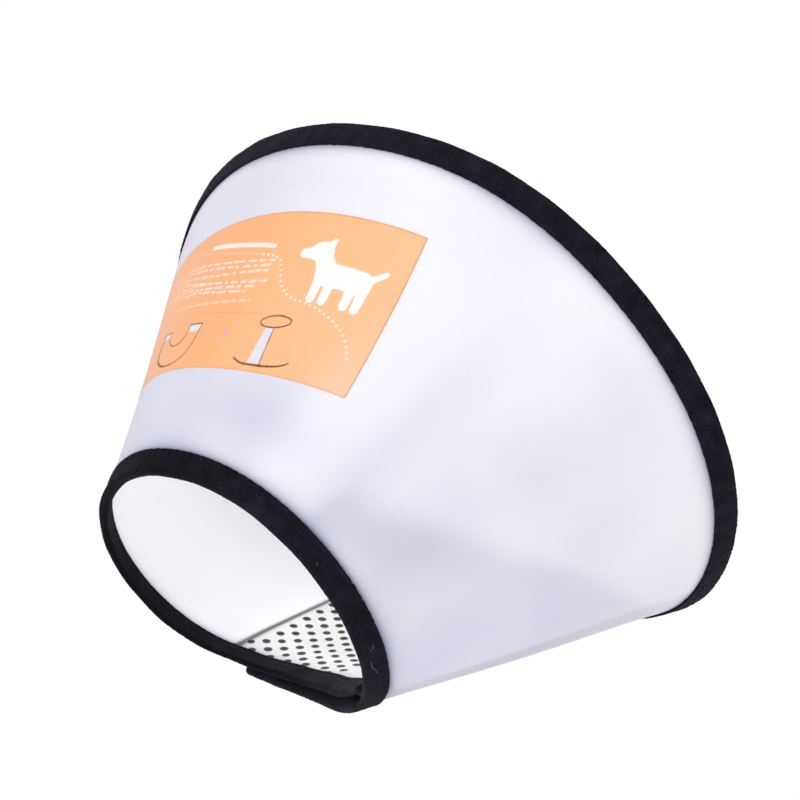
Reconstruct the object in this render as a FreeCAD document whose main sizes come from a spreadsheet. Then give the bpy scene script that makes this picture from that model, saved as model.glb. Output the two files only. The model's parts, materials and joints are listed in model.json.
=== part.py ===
import FreeCAD, Part
import math
import os

import Sketcher

# Elizabethan collar: a truncated cone rolled from one frosted plastic sheet,
# bound with folded tape along both curved edges and closed by a hook-and-loop
# overlap. Millimetres. +Z is the cone axis with the neck end up; the origin is
# the centre of the neck opening, level with the top of its round land.
#
# The sheet is modelled in three pieces that meet at two fold lines:
#   back  - the fixed part, with the printed panel and the inner end (tongue)
#   side  - the part that swings outward when the cone is opened
#   flap  - the outer end that peels off the tongue
# All three are cones of the same half angle. The side piece turns about its
# own axis, tangent to the back piece at the fold, so it spirals gently outward
# and lifts the flap over the tongue.

doc = FreeCAD.newDocument("elizabethan_collar")

# ---------------------------------------------------------------- dimensions
# alias, value, note
DIMENSIONS = [
    ("half_angle", 28.144, "cone half angle, degrees"),
    ("slant_neck", 125.9, "apex to the neck end of the binding, along the sheet"),
    ("slant_rim", 282.0, "apex to the rim end of the binding, along the sheet"),
    ("sheet_thick", 0.6, "plastic sheet"),
    ("tape_thick", 1.2, "one layer of binding tape"),
    ("fold_extra", 1.25, "binding beyond the sheet's edge"),
    ("neck_band", 10.0, "visible width of the neck binding"),
    ("rim_band", 9.8, "visible width of the rim binding"),
    ("fit_gap", 0.05, "clearance between sheet and tape"),
    ("fold_round", 0.7, "bevel of the tape's fold"),
    ("bore_radius", 59.1, "inner radius of the neck binding's round land"),
    ("rest_lift", 0.9, "height trimmed off the rim fold for the flat rest land"),
    ("stitch_inset", 2.2, "stitch line from the tape's cut edge"),
    ("thread_size", 0.6, "sewing thread"),
    ("groove_wide", 0.7, "stitch furrow width"),
    ("groove_deep", 0.5, "stitch furrow depth"),
    ("spiral_shift", 4.1, "side axis from the back axis, away from their fold"),
    ("flap_shift", 7.38, "flap axis from the side axis, toward their fold"),
    ("fold_one", -78.0, "azimuth of the fold between back and side, degrees"),
    ("side_sweep", 94.0, "angle of the side piece, degrees"),
    ("flap_sweep", 60.0, "angle of the flap, degrees"),
    ("tongue_end", 196.0, "azimuth of the inner end, degrees"),
    ("fold_gap", 0.25, "angular gap at each fold, degrees"),
    ("panel_low", 172.0, "printed panel, slant of its neck-side edge"),
    ("panel_high", 243.0, "printed panel, slant of its rim-side edge"),
    ("panel_start", -61.0, "azimuth of the panel's first edge, degrees"),
    ("panel_sweep", 81.0, "angle of the printed panel, degrees"),
    ("panel_thick", 0.15, "printed film"),
    ("closure_low", 138.0, "closure tapes, slant of the neck-side end"),
    ("closure_high", 270.0, "closure tapes, slant of the rim-side end"),
    ("closure_wide", 48.0, "closure tapes, distance of the trim from their axis"),
    ("closure_thick", 1.2, "closure tape thickness"),
    ("closure_margin", 1.2, "closure tapes from the flap's free end, degrees"),
    ("closure_wedge", 66.0, "closure tapes before trimming, degrees"),
    ("trim_reach", 420.0, "reach of the closure trim, past the whole collar"),
]
dims = doc.addObject("Spreadsheet::Sheet", "dims")
for row, (alias, value, note) in enumerate(DIMENSIONS, start=1):
    dims.set("A%d" % row, alias)
    dims.set("B%d" % row, repr(value))
    dims.set("C%d" % row, note)
    dims.setAlias("B%d" % row, alias)
doc.recompute()


class Value:
    """A number carried side by side with the expression that gives it."""

    def __init__(self, num, text):
        self.num = float(num)
        self.text = text

    @staticmethod
    def of(other):
        return other if isinstance(other, Value) else Value(other, repr(float(other)))

    def joined(self, sign, other, num):
        return Value(num, "(%s %s %s)" % (self.text, sign, other.text))

    def __add__(self, other):
        other = Value.of(other)
        return self.joined("+", other, self.num + other.num)

    def __sub__(self, other):
        other = Value.of(other)
        return self.joined("-", other, self.num - other.num)

    def __mul__(self, other):
        other = Value.of(other)
        return self.joined("*", other, self.num * other.num)

    def __truediv__(self, other):
        other = Value.of(other)
        return self.joined("/", other, self.num / other.num)

    def __neg__(self):
        return Value(-self.num, "(0 - %s)" % self.text)


NUMBERS = {alias: value for alias, value, note in DIMENSIONS}


def dim(alias):
    return Value(NUMBERS[alias], "dims." + alias)


def cosine(angle):
    return Value(math.cos(math.radians(angle.num)), "cos(%s * 1 deg)" % angle.text)


def sine(angle):
    return Value(math.sin(math.radians(angle.num)), "sin(%s * 1 deg)" % angle.text)


zero = Value.of(0)
cone_sin = sine(dim("half_angle"))
cone_cos = cosine(dim("half_angle"))

# Lifts are measured square to the sheet, outward from its middle.
sheet_face = dim("sheet_thick") / 2
tape_inside = sheet_face + dim("fit_gap")
tape_face = tape_inside + dim("tape_thick")
# the neck binding's round land starts on its end face, at this lift
land_top = (dim("bore_radius") - dim("slant_neck") * cone_sin) / cone_cos
# height of the apex above the origin, which is level with the land's top edge
apex = dim("slant_neck") * cone_cos - land_top * cone_sin

neck_seam = dim("slant_neck") + dim("neck_band") - dim("stitch_inset")
rim_seam = dim("slant_rim") - dim("rim_band") + dim("stitch_inset")


# --------------------------------------------------------------- the profiles
# Each is a closed loop of (slant, lift) corners, slant measured from the apex.
def slab_loop(low, high, inside, outside):
    return [(low, inside), (high, inside), (high, outside), (low, outside)]


def sheet_loop():
    low = dim("slant_neck") + dim("fold_extra")
    high = dim("slant_rim") - dim("fold_extra")
    return slab_loop(low, high, -sheet_face, sheet_face)


def furrow(seam, side):
    """Corners of a stitch furrow in a binding's outer (1) or inner (-1) face."""
    reach = dim("groove_wide") / 2 * side
    face = tape_face * side
    floor = (tape_face - dim("groove_deep")) * side
    return [
        (seam + reach, face),
        (seam + reach, floor),
        (seam - reach, floor),
        (seam - reach, face),
    ]


def neck_loop():
    end = dim("slant_neck")
    cut_edge = end + dim("neck_band")
    pocket = end + dim("fold_extra") - dim("fit_gap")
    bevel = dim("fold_round")
    land_low = (dim("bore_radius") + tape_face * cone_cos) / cone_sin
    return [
        (cut_edge, tape_face),
        *furrow(neck_seam, 1),
        (end + bevel, tape_face),
        (end, tape_face - bevel),
        (end, land_top),
        (land_low, -tape_face),
        *furrow(neck_seam, -1),
        (cut_edge, -tape_face),
        (cut_edge, -tape_inside),
        (pocket, -tape_inside),
        (pocket, tape_inside),
        (cut_edge, tape_inside),
    ]


def rim_loop():
    end = dim("slant_rim")
    cut_edge = end - dim("rim_band")
    pocket = end - dim("fold_extra") + dim("fit_gap")
    bevel = dim("fold_round")
    # the rest land cuts level across the fold's lowest corner
    land_out = dim("rest_lift") / cone_sin - tape_face
    land_in = end - dim("rest_lift") / cone_cos
    return [
        (cut_edge, -tape_face),
        *furrow(rim_seam, -1),
        (land_in, -tape_face),
        (end, land_out),
        (end, tape_face - bevel),
        (end - bevel, tape_face),
        *furrow(rim_seam, 1),
        (cut_edge, tape_face),
        (cut_edge, tape_inside),
        (pocket, tape_inside),
        (pocket, -tape_inside),
        (cut_edge, -tape_inside),
    ]


def thread_loop(seam, side):
    """Hexagon section of the thread in the outer (1) or inner (-1) furrow."""
    reach = dim("thread_size") / 2
    middle = (tape_face - dim("groove_deep") / 2) * side
    rise = (dim("groove_deep") / 2 - dim("fit_gap") / 2) * side
    return [
        (seam - reach, middle),
        (seam - reach / 2, middle + rise),
        (seam + reach / 2, middle + rise),
        (seam + reach, middle),
        (seam + reach / 2, middle - rise),
        (seam - reach / 2, middle - rise),
    ]


# ------------------------------------------------------------------ builders
def on_cone(slant, lift, shift):
    """Radius and height of a corner, the radius shifted to suit its axis."""
    return (
        slant * cone_sin + lift * cone_cos + shift,
        apex - slant * cone_cos + lift * cone_sin,
    )


def plane_sketch(body, name, role):
    """Sketch on one of the body's origin planes."""
    plane = next(item for item in body.Origin.OriginFeatures if item.Role == role)
    sketch = body.newObject("Sketcher::SketchObject", name)
    sketch.AttachmentSupport = [(plane, "")]
    sketch.MapMode = "FlatFace"
    return sketch


def polygon(sketch, points):
    """Closed polygon whose corners are bound to the sheet of dimensions."""
    count = len(points)
    corners = [FreeCAD.Vector(x.num, y.num, 0) for x, y in points]
    for i in range(count):
        sketch.addGeometry(Part.LineSegment(corners[i], corners[(i + 1) % count]), False)
    for i in range(count):
        sketch.addConstraint(Sketcher.Constraint("Coincident", i, 2, (i + 1) % count, 1))
    for i, point in enumerate(points):
        for kind, value in zip(("DistanceX", "DistanceY"), point):
            index = sketch.addConstraint(Sketcher.Constraint(kind, i, 1, value.num))
            sketch.setExpression("Constraints[%d]" % index, value.text)


def revolved(label, loop, start, sweep, axis=(zero, zero), shift=zero):
    """Body turned from azimuth start through sweep, about an upright axis at
    the (x, y) place axis, with its radii shifted by shift."""
    body = doc.addObject("PartDesign::Body", "body_" + label)
    body.Label = label
    profile = plane_sketch(body, "profile_" + label, "XZ_Plane")
    polygon(profile, [on_cone(slant, lift, shift) for slant, lift in loop])
    turn = body.newObject("PartDesign::Revolution", "turn_" + label)
    turn.Profile = profile
    turn.ReferenceAxis = (profile, ["V_Axis"])
    turn.Angle = sweep.num
    turn.setExpression("Angle", sweep.text)
    body.Tip = turn
    body.Placement = FreeCAD.Placement(
        FreeCAD.Vector(axis[0].num, axis[1].num, 0),
        FreeCAD.Rotation(FreeCAD.Vector(0, 0, 1), start.num),
    )
    body.setExpression("Placement.Rotation.Angle", "%s * 1 deg" % start.text)
    for letter, place in zip("xy", axis):
        body.setExpression("Placement.Base.%s" % letter, place.text)
    return body


def closure(label, inside, outside, start, axis=(zero, zero), shift=zero):
    """Closure tape: a wedge turned from its first edge, then trimmed parallel
    to that edge so that the strip keeps one width."""
    loop = slab_loop(dim("closure_low"), dim("closure_high"), inside, outside)
    body = revolved(label, loop, start, dim("closure_wedge"), axis, shift)
    trim = plane_sketch(body, "trim_sketch_" + label, "XY_Plane")
    width, far = dim("closure_wide"), dim("trim_reach")
    polygon(trim, [(-far, width), (far, width), (far, far), (-far, far)])
    doc.recompute()
    before = body.Shape.Volume
    cut = body.newObject("PartDesign::Pocket", "trim_" + label)
    cut.Profile = trim
    cut.Type = "ThroughAll"
    cut.Midplane = True
    body.Tip = cut
    doc.recompute()
    if not (0.2 * before < body.Shape.Volume < 0.98 * before):
        raise RuntimeError("trim of %s removed nothing sensible" % label)
    return body


# ------------------------------------------------------------- the three parts
fold_one = dim("fold_one")
fold_two = fold_one - dim("side_sweep")
gap = dim("fold_gap")
# the side's axis lies straight back from the first fold
side_axis = (
    -(dim("spiral_shift") * cosine(fold_one)),
    -(dim("spiral_shift") * sine(fold_one)),
)
# the flap's axis lies on the side's radius at the second fold, so the two stay tangent
flap_axis = (
    side_axis[0] + dim("flap_shift") * cosine(fold_two),
    side_axis[1] + dim("flap_shift") * sine(fold_two),
)
flap_radius_shift = dim("spiral_shift") - dim("flap_shift")
flap_start = fold_two - dim("flap_sweep")

# name, start azimuth, sweep, axis, radius shift
REGIONS = [
    ("back", fold_one + gap, dim("tongue_end") - fold_one - gap, (zero, zero), zero),
    ("side", fold_two + gap, dim("side_sweep") - gap * 2, side_axis, dim("spiral_shift")),
    ("flap", flap_start, dim("flap_sweep") - gap, flap_axis, flap_radius_shift),
]
# what runs through every region: the sheet, its bindings and their threads,
# needle thread in the outer furrow and bobbin thread in the inner one
SECTIONS = [
    ("sheet", sheet_loop()),
    ("neck_binding", neck_loop()),
    ("rim_binding", rim_loop()),
    ("neck_needle_thread", thread_loop(neck_seam, 1)),
    ("neck_bobbin_thread", thread_loop(neck_seam, -1)),
    ("rim_needle_thread", thread_loop(rim_seam, 1)),
    ("rim_bobbin_thread", thread_loop(rim_seam, -1)),
]
bodies = [
    revolved("%s_%s" % (section, region), loop, start, sweep, axis, shift)
    for region, start, sweep, axis, shift in REGIONS
    for section, loop in SECTIONS
]


def printed_panel():
    """Printed film on the outside of the back piece."""
    film_face = sheet_face + dim("panel_thick")
    loop = slab_loop(dim("panel_low"), dim("panel_high"), sheet_face, film_face)
    return revolved("printed_panel", loop, dim("panel_start"), dim("panel_sweep"))


bodies.append(printed_panel())

# loop tape inside the flap and hook tape outside the tongue, face to face
closure_start = flap_start + dim("closure_margin")
closure_face = sheet_face + dim("closure_thick")
bodies.append(
    closure(
        "flap_loop_tape", -closure_face, -sheet_face, closure_start, flap_axis, flap_radius_shift
    )
)
bodies.append(closure("tongue_hook_tape", sheet_face, closure_face, closure_start))

# ---------------------------------------------------------- checks and export
doc.recompute()
for item in doc.Objects:
    bad = [state for state in item.State if state in ("Invalid", "Error")]
    if bad:
        raise RuntimeError("%s is %s" % (item.Label, bad))
for body in bodies:
    shape = body.Shape
    if shape.isNull() or not shape.isValid() or shape.Volume <= 0:
        raise RuntimeError("%s has no valid solid" % body.Label)

os.makedirs("parts", exist_ok=True)
for body in bodies:
    body.Shape.exportStep("parts/%s.step" % body.Label)
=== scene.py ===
# A flexible pet cone: a frosted sheet rolled into an open cone, with dark binding
# tape stitched round both edges, a printed panel outside, and a hook and loop
# closure where the flap laps over the tongue.
# The cone's axis is +Z through x = y = 0. The apex is up, the wide rim is down.
#
# Places on the sheet are given by three values throughout:
#   turn   degrees along the strip, from the tongue's end to the flap's end
#   slant  metres from the apex
#   lift   metres outward from the sheet's middle
import json
import math
from collections import namedtuple

import bmesh
import bpy
import numpy as np
from mathutils import Matrix, Vector


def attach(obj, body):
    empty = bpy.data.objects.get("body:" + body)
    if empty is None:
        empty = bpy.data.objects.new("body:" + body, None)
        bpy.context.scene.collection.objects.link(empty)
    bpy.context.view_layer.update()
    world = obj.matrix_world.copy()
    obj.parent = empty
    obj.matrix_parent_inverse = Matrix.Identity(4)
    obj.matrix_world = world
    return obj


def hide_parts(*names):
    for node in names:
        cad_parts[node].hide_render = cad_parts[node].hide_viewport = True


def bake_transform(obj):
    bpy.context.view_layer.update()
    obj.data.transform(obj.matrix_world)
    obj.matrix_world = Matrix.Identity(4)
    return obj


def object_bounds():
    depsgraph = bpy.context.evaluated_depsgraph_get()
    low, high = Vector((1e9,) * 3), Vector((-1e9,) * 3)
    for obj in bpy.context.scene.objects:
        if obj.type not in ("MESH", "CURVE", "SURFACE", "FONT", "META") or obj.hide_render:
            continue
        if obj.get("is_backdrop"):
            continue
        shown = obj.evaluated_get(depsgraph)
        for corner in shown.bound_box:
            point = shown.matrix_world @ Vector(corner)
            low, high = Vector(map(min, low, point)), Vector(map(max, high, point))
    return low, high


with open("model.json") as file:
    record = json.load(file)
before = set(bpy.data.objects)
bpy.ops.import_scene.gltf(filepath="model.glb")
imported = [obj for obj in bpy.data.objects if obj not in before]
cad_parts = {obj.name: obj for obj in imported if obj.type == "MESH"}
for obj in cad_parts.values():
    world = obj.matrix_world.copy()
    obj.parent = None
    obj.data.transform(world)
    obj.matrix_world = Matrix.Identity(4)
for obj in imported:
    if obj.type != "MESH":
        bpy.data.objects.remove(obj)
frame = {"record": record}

cad_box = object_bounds()
rim_rest = [m for m in frame["record"]["mounts"] if m["name"] == "rim_rest"][0]

# ------------------------------------------------------------------ the cone
# Half angle of the cone every 10 degrees: a little oval, flatter at the closure.
HALF_ANGLES = np.radians([
    30.542, 31.017, 31.08, 30.732, 29.936, 28.617, 26.719, 24.634, 23.108,
    22.719, 23.436, 24.785, 26.324, 27.693, 28.813, 29.662, 30.216, 30.466,
    30.404, 30.03, 29.409, 28.656, 27.887, 27.172, 26.522, 25.95, 25.499,
    25.255, 25.314, 25.632, 26.027, 26.359, 26.766, 27.478, 28.543, 29.664])
TABLE_TURN = 4.334         # turn where the table starts
TABLE_AZIMUTH = 233.65     # world azimuth there; azimuth falls as turn grows
APEX_ABOVE_REST = 0.248489
APEX = np.array([0.0, 0.0, rim_rest["pos_m"][2] + APEX_ABOVE_REST])
RIM = 0.282                # slant of the rim fold
NECK = 0.1259              # slant of the neck fold
RIM_BAND = 0.0098
NECK_BAND = 0.0100
SHEET_LIFT = 0.0003        # half the sheet's thickness

# the strip is built in two pieces, main and flap, that meet at the cut
TONGUE_END, CUT, FLAP_END = 31.5, 401.5, 470.0


def half_angle(table_angle):
    """The table as a smooth periodic curve, through its harmonics."""
    harmonics = np.fft.rfft(HALF_ANGLES) / len(HALF_ANGLES)
    angle = np.full_like(table_angle, harmonics[0].real)
    for n in range(1, len(harmonics) - 1):
        angle += 2 * (harmonics[n].real * np.cos(n * table_angle)
                      - harmonics[n].imag * np.sin(n * table_angle))
    angle += harmonics[-1].real * np.cos((len(harmonics) - 1) * table_angle)
    return angle


def trace_section():
    """Turns, directions from the apex and outward normals round the cone, and
    the angle in radians that one full turn takes on the unrolled sheet."""
    table_angle = np.radians(np.linspace(0.0, 360.0, 7201))
    half = half_angle(table_angle)
    azimuth = math.radians(TABLE_AZIMUTH) - table_angle
    rays = np.stack([np.sin(half) * np.cos(azimuth),
                     np.sin(half) * np.sin(azimuth), -np.cos(half)], 1)
    steps = np.linalg.norm(np.diff(rays, axis=0), axis=1)
    arc = np.concatenate([[0], np.cumsum(steps)])
    normals = np.cross(np.gradient(rays, arc, axis=0), rays)
    normals /= np.linalg.norm(normals, axis=1)[:, None]
    if (normals[:, :2] * rays[:, :2]).sum() < 0:
        normals = -normals
    return arc / arc[-1] * 360.0 + TABLE_TURN, rays, normals, arc[-1]


TURNS, RAYS, NORMALS, SHEET_ANGLE = trace_section()


def smooth(x):
    x = np.clip(x, 0, 1)
    return x * x * (3 - 2 * x)


def ramp(x, start, width):
    """Rises smoothly from 0 at start to 1 at start + width."""
    return smooth((x - start) / width)


def bump(x, middle, width):
    return np.exp(-((x - middle) / width) ** 2)


def eased(turns, millimetres):
    """A rounded curve through given values, zero outside; in metres."""
    grid = np.arange(30.0, 340.0, 0.5)
    values = np.interp(grid, turns, millimetres, left=0, right=0)
    kernel = np.exp(-0.5 * (np.arange(-16, 17) * 0.5 / 2.6) ** 2)
    return grid, np.convolve(values, kernel / kernel.sum(), "same") * 0.001


# Tables of turn, then millimetres outward.
# where the closure lies flat it pushes the section out a little, at the neck
CLOSURE = eased([40, 49, 58, 67, 76, 85, 94, 103, 112, 121, 130, 139, 148, 157, 175],
                [0, -0.4, -0.5, -0.3, 1.6, 4.3, 5.8, 5.3, 3.9, 2.7, 1.6, 0.6, 0.2, 0.1, 0])
# the rim draws in a little behind the printed panel
DRAWN = eased([161, 170, 179, 188, 197, 206, 215, 224, 233, 242, 251, 260, 269, 278, 287, 300],
              [0, -0.1, -0.25, -0.45, -0.75, -1.15, -1.5, -1.55, -1.35, -1.2, -1.1, -0.8,
               -0.5, -0.2, -0.1, 0])
# the tongue's neck edge stands off the flap; here the millimetres are inward
STAND = eased([28, 36, 44, 58, 72, 86, 100, 108, 128],
              [2.6, 3.6, 4.6, 5.2, 4.6, 2.8, 0.9, 0, 0])
WAVE_HEIGHT = 0.00035
# share of the height, waves per turn, radians gained from apex to rim, start
WAVES = [(1.0, 3, 9, 0.0), (0.7, 5, -13, 1.0), (0.5, 8, 6, 2.2)]


def tuck(turn):
    """The tongue lies under the flap and comes out past the flap's end."""
    return np.where(turn < 300, -0.0033 * (1 - ramp(turn, 110.0, 40.0)), 0.0)


def section_shift(turn, slant):
    """Small outward departures of the section from the smooth cone."""
    wrapped = turn % 360.0
    shift = np.interp(wrapped, *CLOSURE) * slant / NECK
    shift = shift + np.interp(wrapped, *DRAWN) * np.clip((slant - NECK) / (RIM - NECK), 0, 1.1)
    stand = np.where(turn < 300, np.interp(turn, *STAND), 0.0)
    near_neck = ((0.55 + 0.45 * np.clip((slant - NECK) / 0.010, 0, 1))
                 * (1 - ramp(slant, NECK + 0.010, 0.04)))
    return shift - stand * near_neck


def waves(turn, slant):
    angle = np.radians(turn)
    total = sum(share * np.sin(count * angle + twist * slant / RIM + start)
                for share, count, twist, start in WAVES)
    fade = ramp(slant, NECK, 0.03) * smooth((RIM - slant) / 0.03)
    return WAVE_HEIGHT * total * fade


def unit_at(turn, table):
    wrapped = (turn - TABLE_TURN) % 360.0 + TABLE_TURN
    vector = np.stack([np.interp(wrapped, TURNS, table[:, i]) for i in range(3)], -1)
    return vector / np.linalg.norm(vector, axis=-1, keepdims=True)


def place(turn, slant, lift):
    """World position of a place on the sheet."""
    turn, slant, lift = np.broadcast_arrays(
        np.asarray(turn, float), np.asarray(slant, float), np.asarray(lift, float))
    outward = lift + tuck(turn) + section_shift(turn, slant) + waves(turn, slant)
    return (APEX + unit_at(turn, RAYS) * slant[..., None]
            + unit_at(turn, NORMALS) * outward[..., None])


def unroll(turn, slant):
    """Position on the flat sheet, apex at the origin."""
    angle = (np.asarray(turn, float) - TABLE_TURN) / 360.0 * SHEET_ANGLE
    return np.stack([slant * np.cos(angle), slant * np.sin(angle)], -1)


def roll(flat_point):
    """Turn and slant of a position on the flat sheet."""
    angle = np.arctan2(flat_point[..., 1], flat_point[..., 0])
    return angle / SHEET_ANGLE * 360.0 + TABLE_TURN, np.linalg.norm(flat_point, axis=-1)


def corner_inset(distance, radius):
    """How far a rounded corner draws in, at a distance from the cut end."""
    x = np.clip(distance, 0, radius)
    return radius - np.sqrt(np.maximum(radius ** 2 - (radius - x) ** 2, 0))


# ------------------------------------------------------------------- helpers
def new_mesh(name, verts, faces, material, smooth_shaded=True):
    mesh = bpy.data.meshes.new(name)
    mesh.from_pydata([tuple(v) for v in np.asarray(verts, float).tolist()], [], faces)
    mesh.update()
    if smooth_shaded:
        mesh.polygons.foreach_set("use_smooth", [True] * len(mesh.polygons))
    mesh.materials.append(material)
    return add_object(name, mesh)


def add_object(name, data):
    obj = bpy.data.objects.new(name, data)
    bpy.context.scene.collection.objects.link(obj)
    return obj


def colour_attribute(obj, name, rgb):
    attribute = obj.data.attributes.new(name, "FLOAT_COLOR", "POINT")
    colours = np.ones((len(obj.data.vertices), 4), np.float32)
    colours[:, :3] = rgb
    attribute.data.foreach_set("color", colours.ravel())


def follow_bodies(obj, turns):
    """Bakes the piece's transform into its mesh."""
    turns = np.asarray(turns, float).ravel()
    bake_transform(obj)


def suffix(flap):
    return "_flap" if flap else ""


def body_names(prefix, flap):
    return [prefix + body for body in (("flap",) if flap else ("back", "side"))]


def sweep_faces(columns, around):
    """Faces of a closed profile carried along the strip, the end caps last."""
    index = np.arange(columns * around).reshape(columns, around)
    here, ahead = index[:-1], index[1:]
    faces = np.stack([here, np.roll(here, -1, 1), np.roll(ahead, -1, 1), ahead], -1)
    faces = faces.reshape(-1, 4).tolist()
    for row, flip in ((index[0].tolist(), False), (index[-1].tolist(), True)):
        for i in range(around // 2 - 1):
            quad = [row[i], row[i + 1], row[around - 2 - i], row[around - 1 - i]]
            faces.append(quad[::-1] if flip else quad)
    return faces


def flat_faces(obj, start, stop):
    """End caps are flat shaded, so the skin beside them stays smooth."""
    flags = np.ones(len(obj.data.polygons), bool)
    flags[start:stop] = False
    obj.data.polygons.foreach_set("use_smooth", flags)
    obj.data.update()


def sweep(name, rings, material):
    columns, around = rings.shape[:2]
    faces = sweep_faces(columns, around)
    obj = new_mesh(name, rings.reshape(-1, 3), faces, material)
    flat_faces(obj, (columns - 1) * around, len(faces))
    return obj


def tube_faces(base, rings, around):
    """Faces of a capped tube whose vertices start at base."""
    faces = []
    for i in range(rings - 1):
        for j in range(around):
            here, ahead, beside = base + i * around, base + (i + 1) * around, (j + 1) % around
            faces.append([here + j, here + beside, ahead + beside, ahead + j])
    last = base + (rings - 1) * around
    faces.append([base + j for j in range(around)][::-1])
    faces.append([last + j for j in range(around)])
    return faces


def fix_normals(obj):
    bm = bmesh.new()
    bm.from_mesh(obj.data)
    bmesh.ops.recalc_face_normals(bm, faces=bm.faces)
    bm.to_mesh(obj.data)
    bm.free()
    obj.data.update()


# ----------------------------------------------------------------- materials
def node(tree, kind, inputs=None, **settings):
    """Adds a shader node. An input is given a value, or a socket to link."""
    made = tree.nodes.new("ShaderNode" + kind)
    for key, value in settings.items():
        setattr(made, key, value)
    for key, value in (inputs or {}).items():
        if isinstance(value, bpy.types.NodeSocket):
            tree.links.new(value, made.inputs[key])
        else:
            made.inputs[key].default_value = value
    return made


def new_material(name):
    material = bpy.data.materials.new(name)
    material.use_nodes = True
    material.node_tree.nodes.clear()
    return material, material.node_tree


def set_surface(tree, shader):
    node(tree, "OutputMaterial", {"Surface": shader})


def object_coords(tree):
    return node(tree, "TexCoord").outputs["Object"]


def noise(tree, coords, scale, detail):
    inputs = {"Vector": coords, "Scale": scale, "Detail": detail}
    return node(tree, "TexNoise", inputs).outputs["Fac"]


def bump_normal(tree, height, strength, distance):
    inputs = {"Height": height, "Strength": strength, "Distance": distance}
    return node(tree, "Bump", inputs).outputs["Normal"]


def attribute_colour(tree, name):
    return node(tree, "Attribute", attribute_name=name).outputs["Color"]


def map_range(tree, value, to_min, to_max, from_min=0.0, from_max=1.0):
    return node(tree, "MapRange", {
        "Value": value, "From Min": from_min, "From Max": from_max,
        "To Min": to_min, "To Max": to_max}).outputs["Result"]


def colour_ramp(tree, factor, low, high, low_at=0.0, high_at=1.0):
    made = node(tree, "ValToRGB", {"Fac": factor})
    for element, at, colour in zip(made.color_ramp.elements, (low_at, high_at), (low, high)):
        element.position = at
        element.color = (*colour, 1)
    return made.outputs["Color"]


def mix_colours(tree, factor, first, second, blend="MIX"):
    # inputs 6 and 7 and output 2 are the mix node's colour sockets
    return node(tree, "Mix", {0: factor, 6: first, 7: second},
                data_type="RGBA", blend_type=blend).outputs[2]


def mix_shaders(tree, factor, first, second):
    return node(tree, "MixShader", {0: factor, 1: first, 2: second}).outputs[0]


GLOSS_INPUTS = {"roughness": "Roughness", "specular": "Specular IOR Level",
                "sheen": "Sheen Weight", "sheen_roughness": "Sheen Roughness",
                "sheen_tint": "Sheen Tint"}


def principled(tree, colour, normal, **gloss):
    inputs = {GLOSS_INPUTS[key]: value for key, value in gloss.items()}
    inputs.update({"Base Color": colour, "Normal": normal})
    return node(tree, "BsdfPrincipled", inputs).outputs[0]


def translucent_surface(tree, share, colour, normal, **gloss):
    """A coated surface that lets a share of the light through."""
    coat = principled(tree, colour, normal, **gloss)
    through = node(tree, "BsdfTranslucent", {"Color": colour}).outputs[0]
    set_surface(tree, mix_shaders(tree, share, coat, through))


def frosted_sheet():
    """Matte moulded grain, light through it, and painted shade and light multiplied into the
    colour.
    """
    material, tree = new_material("frosted_sheet")
    coords = object_coords(tree)
    grain = noise(tree, coords, scale=900.0, detail=3.0)
    cloud = noise(tree, coords, scale=14.0, detail=2.0)
    cloud = map_range(tree, cloud, from_min=0.3, from_max=0.7, to_min=0.0, to_max=1.0)
    tone = mix_colours(tree, cloud, (0.902, 0.900, 0.942, 1), (0.938, 0.938, 0.962, 1))
    colour = mix_colours(tree, 1.0, tone, attribute_colour(tree, "Tint"), "MULTIPLY")
    normal = bump_normal(tree, grain, strength=0.10, distance=0.0002)
    translucent_surface(tree, 0.42, colour, normal, roughness=0.42, specular=0.35, sheen=0.15)
    return material


def binding_tape():
    """Short knitted pile: a fine noise in colour and bump, with sheen."""
    material, tree = new_material("binding_tape")
    coords = object_coords(tree)
    fine = noise(tree, coords, scale=1400.0, detail=4.0)
    coarse = noise(tree, coords, scale=160.0, detail=5.0)
    both = node(tree, "Math", {0: fine, 1: coarse}, operation="MULTIPLY").outputs[0]
    pile = colour_ramp(tree, both, (0.0045, 0.0042, 0.0072), (0.0155, 0.0148, 0.0215),
                       low_at=0.12, high_at=0.42)
    # the attribute multiplies in painted light and shade
    shaded_pile = mix_colours(tree, 1.0, pile, attribute_colour(tree, "PaintedShade"), "MULTIPLY")
    normal = bump_normal(tree, fine, strength=0.85, distance=0.0005)
    set_surface(tree, principled(
        tree, shaded_pile, normal, roughness=0.95, specular=0.06, sheen=0.05,
        sheen_roughness=0.45, sheen_tint=(0.75, 0.75, 0.95, 1)))
    return material


def twisted_thread():
    material, tree = new_material("thread")
    wave = node(tree, "TexWave", {"Vector": object_coords(tree), "Scale": 900.0,
                                  "Distortion": 1.5}).outputs["Fac"]
    colour = colour_ramp(tree, wave, (0.004, 0.004, 0.006), (0.012, 0.012, 0.017))
    normal = bump_normal(tree, wave, strength=0.5, distance=0.0002)
    set_surface(tree, principled(tree, colour, normal, roughness=0.8, specular=0.1))
    return material


def printed_film():
    """Colours come from the drawing, over a satin lacquer."""
    material, tree = new_material("printed_film")
    coords = object_coords(tree)
    grain = noise(tree, coords, scale=700.0, detail=3.0)
    tone = noise(tree, coords, scale=45.0, detail=4.0)
    tone = map_range(tree, tone, to_min=0.965, to_max=1.03)
    colour = node(tree, "VectorMath", {0: attribute_colour(tree, "Art"), "Scale": tone},
                  operation="SCALE").outputs[0]
    normal = bump_normal(tree, grain, strength=0.06, distance=0.0002)
    translucent_surface(tree, 0.25, colour, normal, roughness=0.36, specular=0.4,
                        sheen=0.35, sheen_roughness=0.35)
    return material


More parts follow.
